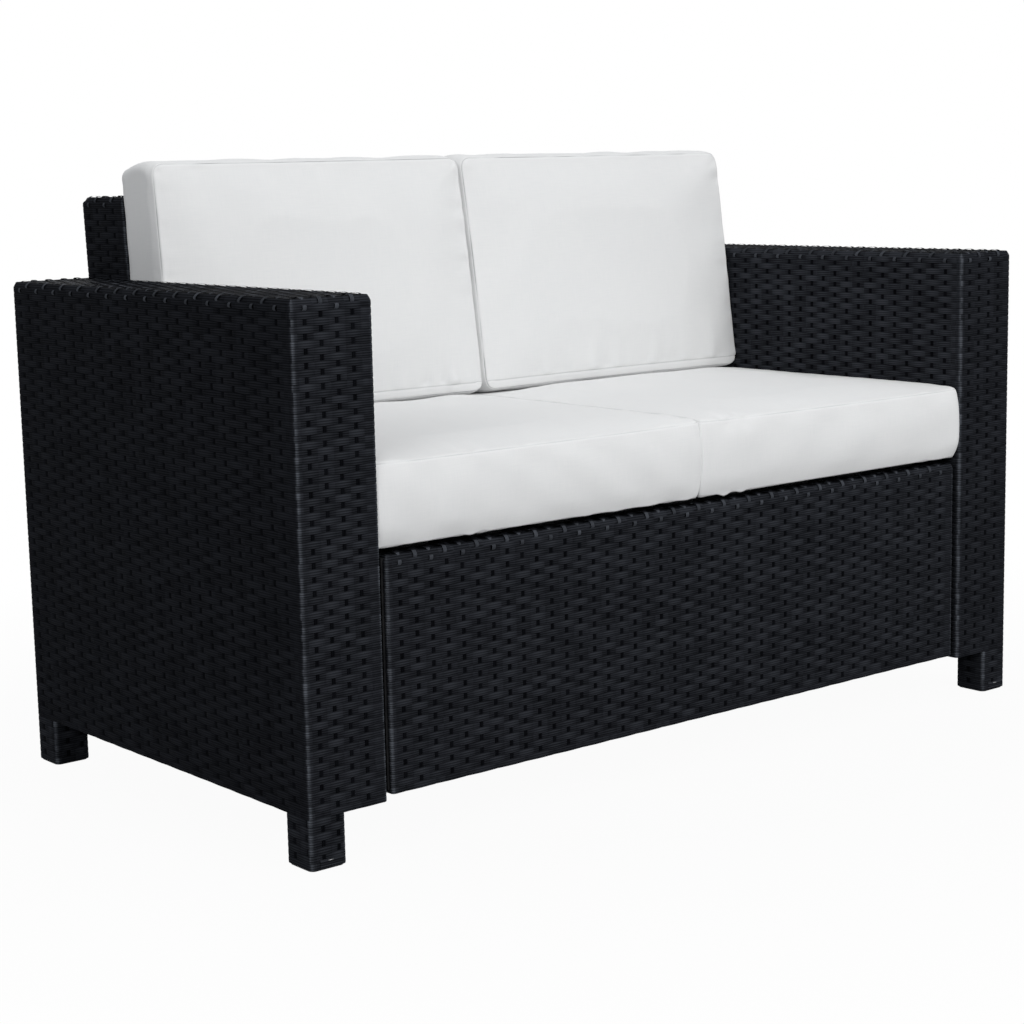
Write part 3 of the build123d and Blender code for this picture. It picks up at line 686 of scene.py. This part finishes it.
def resample(values, places, ring=False):
    """Smooth in-between values along the first axis."""
    count = len(values)
    if not ring:
        values = np.concatenate([2 * values[:1] - values[1:2], values, 2 * values[-1:] - values[-2:-1]])
        places = np.asarray(places) + 1
    whole = np.clip(np.floor(places).astype(int), 0, None)
    t = (places - whole).reshape((-1,) + (1,) * (values.ndim - 1))
    if ring:
        a, b, c, d = (values[(whole + k) % count] for k in (-1, 0, 1, 2))
    else:
        a, b, c, d = (values[np.clip(whole + k, 0, count + 1)] for k in (-1, 0, 1, 2))
    curve = 2 * b + (c - a) * t + (2 * a - 5 * b + 4 * c - d) * t ** 2
    return 0.5 * (curve + (3 * b - a - 3 * c + d) * t ** 3)


def fine_places(cells, seam=0.0, edge=0.18):
    """Half-cell places with more of them close to each end, and close to a seam line, for its groove."""
    places = [0, edge, cells - edge, cells, *(np.arange(1, 2 * cells) / 2)]
    if seam:
        places += [seam - edge, seam, seam + edge]
    places = np.sort(np.array(places, float))
    return places[np.diff(places, append=cells + 1) > 0.04]


def smooth_noise(places, seed, wavelength):
    """One-dimensional noise along a closed seam."""
    source = np.random.default_rng(seed)
    total = places[-1] * len(places) / (len(places) - 1)
    knots = max(int(total / wavelength), 4)
    return resample(source.normal(0, 1, knots), places / total * knots, ring=True)


class Cover:
    """A boxed cushion cover lying flat: top and bottom panels sewn to a boxing strip."""

    def __init__(self, low, high, crown, corner, swell):
        size = high - low
        self.cells = [int(round(side / CELL)) for side in size]
        self.middle, self.half, self.corner = (low + high) / 2, size / 2, corner
        nx, ny, nz = self.cells
        gx, gy = np.meshgrid(np.linspace(-1, 1, nx + 1), np.linspace(-1, 1, ny + 1), indexing="ij")
        flat = self.turned(gx * self.half[0], gy * self.half[1])
        flat = [flat[axis] + self.middle[axis] for axis in (0, 1)]
        bulge = ((1 - gx ** 4) * (1 - gy ** 4)) ** 0.6
        self.top = np.stack([*flat, high[2] + crown * bulge], -1)
        self.under = np.stack([*flat, np.full_like(gx, low[2])], -1)
        rim = self.top[self.ring(nx, ny)]
        tangent = np.roll(rim, -1, 0) - np.roll(rim, 1, 0)
        outward = np.stack([tangent[:, 1], -tangent[:, 0]], -1)
        outward /= np.linalg.norm(outward, axis=1, keepdims=True)
        share = np.linspace(0, 1, nz + 1)[:, None]
        self.box = np.empty((nz + 1, len(rim), 3))
        self.box[..., :2] = rim[None, :, :2] + outward * (swell * (1 - (2 * share - 1) ** 2))[..., None]
        self.box[..., 2] = low[2] + size[2] * share
        steps = np.linalg.norm(np.diff(rim, axis=0, append=rim[:1]), axis=1)
        self.around = np.concatenate([[0], np.cumsum(steps)])
        self.thickness = size[2]

    @staticmethod
    def ring(nx, ny):
        """Grid places once round the panel's edge, counterclockwise from its first corner."""
        places = [(i, 0) for i in range(nx)] + [(nx, j) for j in range(ny)]
        places += [(i, ny) for i in range(nx, 0, -1)] + [(0, j) for j in range(ny, 0, -1)]
        return tuple(np.array(places).T)

    def turned(self, x, y):
        """The rectangle's corners turned in to the corner radius."""
        cx, cy = self.half[0] - self.corner, self.half[1] - self.corner
        ax, ay = np.abs(x) - cx, np.abs(y) - cy
        inside = (ax > 0) & (ay > 0)
        size = np.hypot(ax, ay)
        share = np.where(inside & (size > 0), np.maximum(ax, ay) / np.maximum(size, 1e-9), 1.0)
        return (np.where(inside, np.sign(x) * (cx + ax * share), x),
                np.where(inside, np.sign(y) * (cy + ay * share), y))

    @staticmethod
    def topology(nx, ny, nz):
        """Point numbers of the panels and boxing rings, and the quads that join them."""
        panel = np.arange((nx + 1) * (ny + 1)).reshape(nx + 1, ny + 1)
        upper = strip_quads(nx + 1, ny + 1, closed=False)
        ring = Cover.ring(nx, ny)
        size, count = len(ring[0]), 2 * panel.size
        rings = [panel[ring] + panel.size]
        rings += [np.arange(count + level * size, count + (level + 1) * size) for level in range(nz - 1)]
        rings.append(panel[ring])
        quads = [upper, upper[:, ::-1] + panel.size]
        for low, high in zip(rings, rings[1:]):
            quads.append(np.stack([low, np.roll(low, -1), np.roll(high, -1), high], -1))
        return panel, ring, np.concatenate(quads)

    def coarse(self):
        """Points and quads of the cover as it is cut, for the simulation."""
        quads = self.topology(*self.cells)[2]
        points = [self.top.reshape(-1, 3), self.under.reshape(-1, 3), self.box[1:-1].reshape(-1, 3)]
        return np.concatenate(points), quads

    def rims(self):
        """Numbers of the seam points."""
        panel, ring, _ = self.topology(*self.cells)
        return np.concatenate([panel[ring], panel[ring] + panel.size]).tolist()

    def take(self, points):
        """The simulated points go back into the panels and boxing."""
        size = self.top[..., 0].size
        self.top = points[:size].reshape(self.top.shape)
        self.under = points[size:2 * size].reshape(self.under.shape)
        ring = self.ring(*self.cells[:2])
        boxing = points[2 * size:].reshape(-1, *self.box.shape[1:])
        self.box = np.concatenate([self.under[ring][None], boxing, self.top[ring][None]])


def normals_of(grid):
    """Normals of a grid of points."""
    across = np.cross(np.gradient(grid, axis=0), np.gradient(grid, axis=1))
    return across / np.maximum(np.linalg.norm(across, axis=-1, keepdims=True), 1e-12)


def inflate(cover):
    """Puffs the cover by cloth simulation, with its seams held and no point moved too far."""
    points, quads = cover.coarse()
    mesh = bpy.data.meshes.new("inflating")
    mesh.from_pydata(points.tolist(), [], quads.tolist())
    piece = bpy.data.objects.new("inflating", mesh)
    bpy.context.scene.collection.objects.link(piece)
    cloth = piece.modifiers.new("cloth", "CLOTH")
    cloth.settings.quality = 6
    cloth.settings.mass = 0.3
    cloth.settings.tension_stiffness = cloth.settings.compression_stiffness = 25
    cloth.settings.shear_stiffness = 12
    cloth.settings.bending_stiffness = 0.8
    cloth.settings.use_pressure = True
    cloth.settings.uniform_pressure_force = PRESSURE
    cloth.settings.effector_weights.gravity = 0
    piece.vertex_groups.new(name="seams").add(cover.rims(), SEAM_PIN, "REPLACE")
    cloth.settings.vertex_group_mass = "seams"
    for number in range(1, FRAMES + 1):
        bpy.context.scene.frame_set(number)
    shown = piece.evaluated_get(bpy.context.evaluated_depsgraph_get()).data
    after = np.empty(len(points) * 3, np.float32)
    shown.vertices.foreach_get("co", after)
    bpy.context.scene.frame_set(1)
    bpy.data.objects.remove(piece)
    move = after.reshape(-1, 3).astype(float) - points
    size = np.linalg.norm(move, axis=1, keepdims=True)
    cover.take(points + move * np.minimum(1, MOST_SWELL / np.maximum(size, 1e-9)))


def undulation(points, seed, wavelength):
    """A soft random field of about unit size, for the unevenness of the filling."""
    source = np.random.default_rng(seed)
    total = 0
    for _ in range(8):
        way = source.normal(0, 1, 3)
        way *= 2 * math.pi / (wavelength * source.uniform(0.7, 1.6) * np.linalg.norm(way))
        total = total + np.sin(points @ way + source.uniform(0, 2 * math.pi))
    return total / 2


def seam_ripple(cover, around, seed):
    """How far the cloth puckers at each place round the seams, most of all near the corners."""
    strength = np.clip(0.45 + 0.6 * smooth_noise(around, seed + 1, 150 * MM), 0.1, 1.3)
    nx, ny, _ = cover.cells
    corners = np.interp([0, nx, nx + ny, 2 * nx + ny, 2 * (nx + ny)], np.arange(len(cover.around)),
                        cover.around)
    from_corner = np.abs(around[:, None] - corners).min(1)
    return smooth_noise(around, seed, 16 * MM) * strength * (1 + 1.6 * np.exp(-from_corner / (45 * MM)))


def raise_panels(cover, panels, u, v, along, ripple, seed, seam_height):
    """Puckers, seam grooves and unevenness of both panels, and the folds over a low seam."""
    nx, ny, _ = cover.cells
    once_round = 2 * (nx + ny)
    along_x, along_y = np.meshgrid(u, v, indexing="ij")
    from_x, from_y = np.minimum(along_x, nx - along_x), np.minimum(along_y, ny - along_y)
    depth = np.minimum(from_x, from_y) * CELL
    side_place = np.where(along_x < nx / 2, once_round - along_y, nx + along_y)
    end_place = np.where(along_y < ny / 2, along_x, 2 * nx + ny - along_x)
    near = np.interp(np.where(from_x < from_y, side_place, end_place), along, ripple, period=once_round)
    groove = np.where(depth < 1 * MM, -1.1 * MM, 0)
    groove = groove + np.where((depth > 1 * MM) & (depth < 5 * MM), 0.35 * MM, 0)
    pucker = 1.1 * MM * np.exp(-depth / (18 * MM)) * np.clip(depth / (6 * MM), 0.15, 1)
    for face, sign in ((0, 1), (1, -1)):
        normal = normals_of(panels[face]) * sign
        lift = near * pucker + groove
        lift += 0.8 * MM * undulation(panels[face], seed + 3, 120 * MM) * np.clip(depth / (40 * MM), 0, 1)
        if seam_height and face == 0:
            above = (along_y - seam_height) * CELL
            fade = np.exp(-above / (26 * MM)) * np.clip(above / (5 * MM), 0, 1)
            folds = np.interp(along_x, along, ripple, period=once_round)
            lift += np.where(np.abs(along_y - seam_height) < SEAM_REACH, -1.0 * MM, 0)
            lift += 2.6 * MM * folds * np.where(above > 0, fade, 0)
        panels[face] = panels[face] + normal * lift[..., None]


def raise_boxing(box, w, nz, ripple, pucker, seed):
    """Puckers and unevenness of the boxing strip, whose lower part rises and falls with them."""
    reach = np.minimum(w, nz - w) * CELL
    fade = np.exp(-reach / (14 * MM)) * np.clip(reach / (6 * MM), 0.15, 1)
    lift = ripple[None, :] * 0.5 * MM * fade[:, None]
    lift += 0.7 * MM * undulation(box, seed + 4, 75 * MM) * np.clip(reach / (20 * MM), 0, 1)[:, None]
    box = box - normals_of(box) * lift[..., None]
    box[..., 2] += pucker * 0.9 * MM * ripple * np.clip(1.5 - w[:, None] * CELL / (22 * MM), 0, 1)
    return box


def cloth_places(cover, u, v, w, around, width, length, quads):
    """Where each quad's corners lie on the flat cloth: both panels, then the rings of the boxing."""
    nx, ny, nz = cover.cells
    flat_x, flat_y = np.meshgrid(np.interp(u, [0, nx], [-width / 2, width / 2]),
                                 np.interp(v, [0, ny], [-length / 2, length / 2]), indexing="ij")
    flat = np.stack([flat_x, flat_y], -1).reshape(-1, 2)
    count = (len(u) - 1) * (len(v) - 1)
    places = [flat[quads[:count]], flat[quads[count:2 * count] - len(flat)]]
    ends = np.append(around, cover.around[-1])
    levels = np.interp(w, [0, nz], [0, cover.thickness])
    for below, above in zip(levels, levels[1:]):
        low_edge, high_edge = np.full(len(around), below), np.full(len(around), above)
        corners = ((ends[:-1], low_edge), (ends[1:], low_edge),
                   (ends[1:], high_edge), (ends[:-1], high_edge))
        places.append(np.stack([np.stack(corner, -1) for corner in corners], 1))
    return np.concatenate(places)


def cushion(name, cad_node, tilt, cut, limits, crown, corner, swell, seed, bend, seam_height=0.0,
            pucker=1.0, seam_wear=1.0):
    """A finished cushion in its CAD node's space: cut says how far inside each side the cover starts,
    limits how far past each side it may swell, both as low and high x, y and z."""
    turn = np.array(Matrix.Rotation(tilt, 3, "X"))
    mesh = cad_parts[cad_node].data
    cad = np.empty(len(mesh.vertices) * 3, np.float32)
    mesh.vertices.foreach_get("co", cad)
    local = cad.reshape(-1, 3) @ turn
    low, high = local.min(0), local.max(0)
    width, length = (high - low)[:2]
    origin = np.array([(low[0] + high[0]) / 2, (low[1] + high[1]) / 2, low[2]])
    low, high = low - origin, high - origin
    cut, limits = np.array(cut) * MM, np.array(limits) * MM
    cover = Cover(low + cut[0], high - cut[1], crown, corner, swell)
    inflate(cover)

    nx, ny, nz = cover.cells
    u, v, w = fine_places(nx), fine_places(ny, seam_height), fine_places(nz)
    panels = [resample(resample(panel, u).swapaxes(0, 1), v).swapaxes(0, 1)
              for panel in (cover.top, cover.under)]
    numbers, ring, quads = Cover.topology(len(u) - 1, len(v) - 1, len(w) - 1)
    along = np.concatenate([u[:-1], nx + v[:-1], nx + ny + nx - u[:0:-1], 2 * nx + ny + ny - v[:0:-1]])
    box = resample(resample(cover.box, w).swapaxes(0, 1), along, ring=True).swapaxes(0, 1)
    around = np.interp(along, np.arange(len(cover.around)), cover.around)
    ripple = seam_ripple(cover, around, seed)
    raise_panels(cover, panels, u, v, along, ripple, seed, seam_height)
    box = raise_boxing(box, w, nz, ripple, pucker, seed)
    panels[1][ring] = box[0]

    points = np.concatenate([part.reshape(-1, 3) for part in (*panels, box[1:-1])])
    points = np.clip(points, low - limits[0], high + limits[1])
    points = (bend(points, width, length) + origin) @ turn.T
    made = bpy.data.meshes.new(name)
    made.from_pydata(points.tolist(), [], quads.tolist())
    layer = made.uv_layers.new(name="cloth")
    uv = cloth_places(cover, u, v, w, around, width, length, quads)
    layer.data.foreach_set("uv", uv.astype(np.float32).ravel())

    # Painted shade along the seams, varying at random along them and scaled for each cushion
    seam = np.zeros(len(points), np.float32)
    groove_shade = seam_wear * np.clip(0.65 + 0.3 * smooth_noise(around, seed + 2, 30 * MM), 0.2, 1)
    seam[np.concatenate([numbers[ring], numbers[ring] + numbers.size])] = np.tile(groove_shade, 2)
    if seam_height:
        seam[numbers[:, np.abs(v - seam_height) < SEAM_REACH].ravel()] = LOW_SEAM_SHADE
    made.attributes.new("seam", "FLOAT", "POINT").data.foreach_set("value", seam)
    made.polygons.foreach_set("use_smooth", np.ones(len(made.polygons), bool))
    made.materials.append(FABRIC)
    piece = bpy.data.objects.new(name, made)
    bpy.context.scene.collection.objects.link(piece)
    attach(piece, cad_node)
    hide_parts(cad_node)


def seat_bend(points, width, length):
    """The sides stand higher than the corners, the front tucks in below, and the back cushion
    presses the rear flat along its own lean."""
    foot_y, foot_height = 188 * MM, 114.6 * MM
    points = points.copy()
    x, y = np.abs(points[:, 0]) / (width / 2), points[:, 1] / (length / 2)
    upper = np.clip(points[:, 2] / (90 * MM), 0, 1) ** 4
    points[:, 2] += 6 * MM * upper * np.clip(x, 0, 1) ** 6 * (1 - np.abs(y) ** 10)
    slope = np.where(points[:, 1] > foot_y, -0.061, -0.7)
    points[:, 2] = np.minimum(points[:, 2], foot_height + (points[:, 1] - foot_y) * slope)
    low = np.clip(1 - points[:, 2] / (34 * MM), 0, 1)
    points[:, 1] += 5 * MM * low ** 2 * np.clip(-y, 0, 1) ** 8
    return points


def back_bend(tilt_share):
    """Back cushions lean a little to one side, as they were set down, and are thinner at the top."""
    def bend(points, width, length):
        points = points.copy()
        x, y = points[:, 0] / (width / 2), points[:, 1] / length + 0.5
        points[:, 0] -= (16 * MM * y - 5 * MM * (1 - y)) * (tilt_share + (1 - tilt_share) * (x + 1) / 2)
        points[:, 2] *= 1 - 0.06 * y ** 3
        return points
    return bend


UPRIGHT = math.radians(90 - LEAN_DEGREES)
SEAT = dict(tilt=0.0, cut=((1, 6, 7), (1, 2, 9)), limits=((1.2, 6, 0), (1.2, 0, 5)), crown=8 * MM,
            corner=4 * MM, swell=7 * MM, bend=seat_bend, pucker=1.1, seam_wear=0.4)
BACK = dict(tilt=UPRIGHT, cut=((3, 7, 2), (3, 4, 11)), limits=((0.4, 0, 0), (0.4, 3, 4)), crown=7 * MM,
            corner=16 * MM, swell=7 * MM, seam_height=1.7)
cushion("seat_cover_left", "seat_cushion_left", seed=11, **SEAT)
cushion("seat_cover_right", "seat_cushion_right", seed=23, **SEAT)
cushion("back_cover_left", "back_cushion_left", seed=37, bend=back_bend(0.0), **BACK)
cushion("back_cover_right", "back_cushion_right", seed=51, bend=back_bend(1.0), **BACK)


def seen_by_eye(tree):
    """1 for what the camera sees itself, in gloss or through glass, and 0 for all other rays."""
    path = node(tree, "ShaderNodeLightPath")
    seen = math_node(tree, "MAXIMUM", path.outputs["Is Camera Ray"], path.outputs["Is Transmission Ray"])
    return math_node(tree, "MAXIMUM", seen, path.outputs["Is Glossy Ray"])


def studio():
    """Pale floor, soft lamps and a white surround for the camera and for gloss."""
    scene = bpy.context.scene
    world = bpy.data.worlds.new("surround")
    scene.world = world
    world.use_nodes = True
    tree = world.node_tree
    tree.nodes.clear()
    soft = node(tree, "ShaderNodeBackground", Color=(0.93, 0.96, 1.0, 1), Strength=0.34)
    white = node(tree, "ShaderNodeBackground", Color=(1, 1, 1, 1), Strength=1.0)
    both = node(tree, "ShaderNodeMixShader")
    tree.links.new(seen_by_eye(tree), both.inputs[0])
    tree.links.new(soft.outputs[0], both.inputs[1])
    tree.links.new(white.outputs[0], both.inputs[2])
    out = node(tree, "ShaderNodeOutputWorld")
    tree.links.new(both.outputs[0], out.inputs[0])

    floor_mesh = bpy.data.meshes.new("floor")
    floor_mesh.from_pydata([(-8, -8, 0), (8, -8, 0), (8, 8, 0), (-8, 8, 0)], [], [(0, 1, 2, 3)])
    floor = bpy.data.objects.new("floor", floor_mesh)
    scene.collection.objects.link(floor)
    made = bpy.data.materials.new("floor")
    made.use_nodes = True
    tree = made.node_tree
    tree.nodes.clear()
    diffuse = node(tree, "ShaderNodeBsdfDiffuse", Color=(0.42, 0.42, 0.42, 1))
    glow = node(tree, "ShaderNodeEmission", Color=(1, 1, 1, 1), Strength=1.0)
    both = node(tree, "ShaderNodeMixShader")
    place = node(tree, "ShaderNodeTexCoord").outputs["Object"]
    away = node(tree, "ShaderNodeVectorMath")
    away.operation = "LENGTH"
    tree.links.new(place, away.inputs[0])
    far = node(tree, "ShaderNodeMapRange", Value=away.outputs["Value"])
    for socket, value in zip(("From Min", "From Max", "To Min", "To Max"), (0.6, 1.6, 0.955, 1.0)):
        far.inputs[socket].default_value = value
    share = math_node(tree, "MULTIPLY", seen_by_eye(tree), far.outputs[0])
    tree.links.new(share, both.inputs[0])
    tree.links.new(diffuse.outputs[0], both.inputs[1])
    tree.links.new(glow.outputs[0], both.inputs[2])
    out = node(tree, "ShaderNodeOutputMaterial")
    tree.links.new(both.outputs[0], out.inputs[0])
    floor_mesh.materials.append(made)

    for name, place, target, size, power in (
        ("key", (0.4, -3.6, 2.5), (0.0, 0.0, 0.4), 2.0, 80.0),
        ("overhead", (0.2, -0.4, 3.6), (0.0, 0.0, 0.4), 2.8, 26.0),
        ("fill", (-3.8, -1.6, 1.8), (0.0, 0.0, 0.5), 2.0, 34.0),
        ("rear", (1.4, 3.8, 2.2), (0.0, 0.0, 0.4), 2.4, 24.0),
    ):
        lamp = bpy.data.lights.new(name, "AREA")
        lamp.energy, lamp.size = power, size
        lamp_object = bpy.data.objects.new(name, lamp)
        lamp_object.location = place
        lamp_object.rotation_euler = (Vector(target) - Vector(place)).to_track_quat("-Z", "Y").to_euler()
        scene.collection.objects.link(lamp_object)
    scene.view_settings.view_transform = "Standard"


def photograph_camera():
    """The camera solved from the photograph's edges."""
    yaw, pitch, roll = math.radians(39.3), math.radians(9.27), math.radians(-1.25)
    place = (-2.0029, -2.3852, 0.8249)
    sensor, focal_pixels, photo_pixels = 36.0, 2146.7, 1024
    ahead = Vector((math.sin(yaw) * math.cos(pitch), math.cos(yaw) * math.cos(pitch), -math.sin(pitch)))
    right = Vector((math.cos(yaw), -math.sin(yaw), 0))
    up = right.cross(ahead)
    right, up = math.cos(roll) * right + math.sin(roll) * up, math.cos(roll) * up - math.sin(roll) * right
    data = bpy.data.cameras.new("camera")
    data.sensor_width, data.lens = sensor, sensor * focal_pixels / photo_pixels
    data.clip_start, data.clip_end = 0.1, 60
    camera = bpy.data.objects.new("camera", data)
    turn = Matrix((right, up, -ahead)).transposed().to_4x4()
    camera.matrix_world = Matrix.Translation(place) @ turn
    bpy.context.scene.collection.objects.link(camera)
    bpy.context.scene.camera = camera


studio()
photograph_camera()
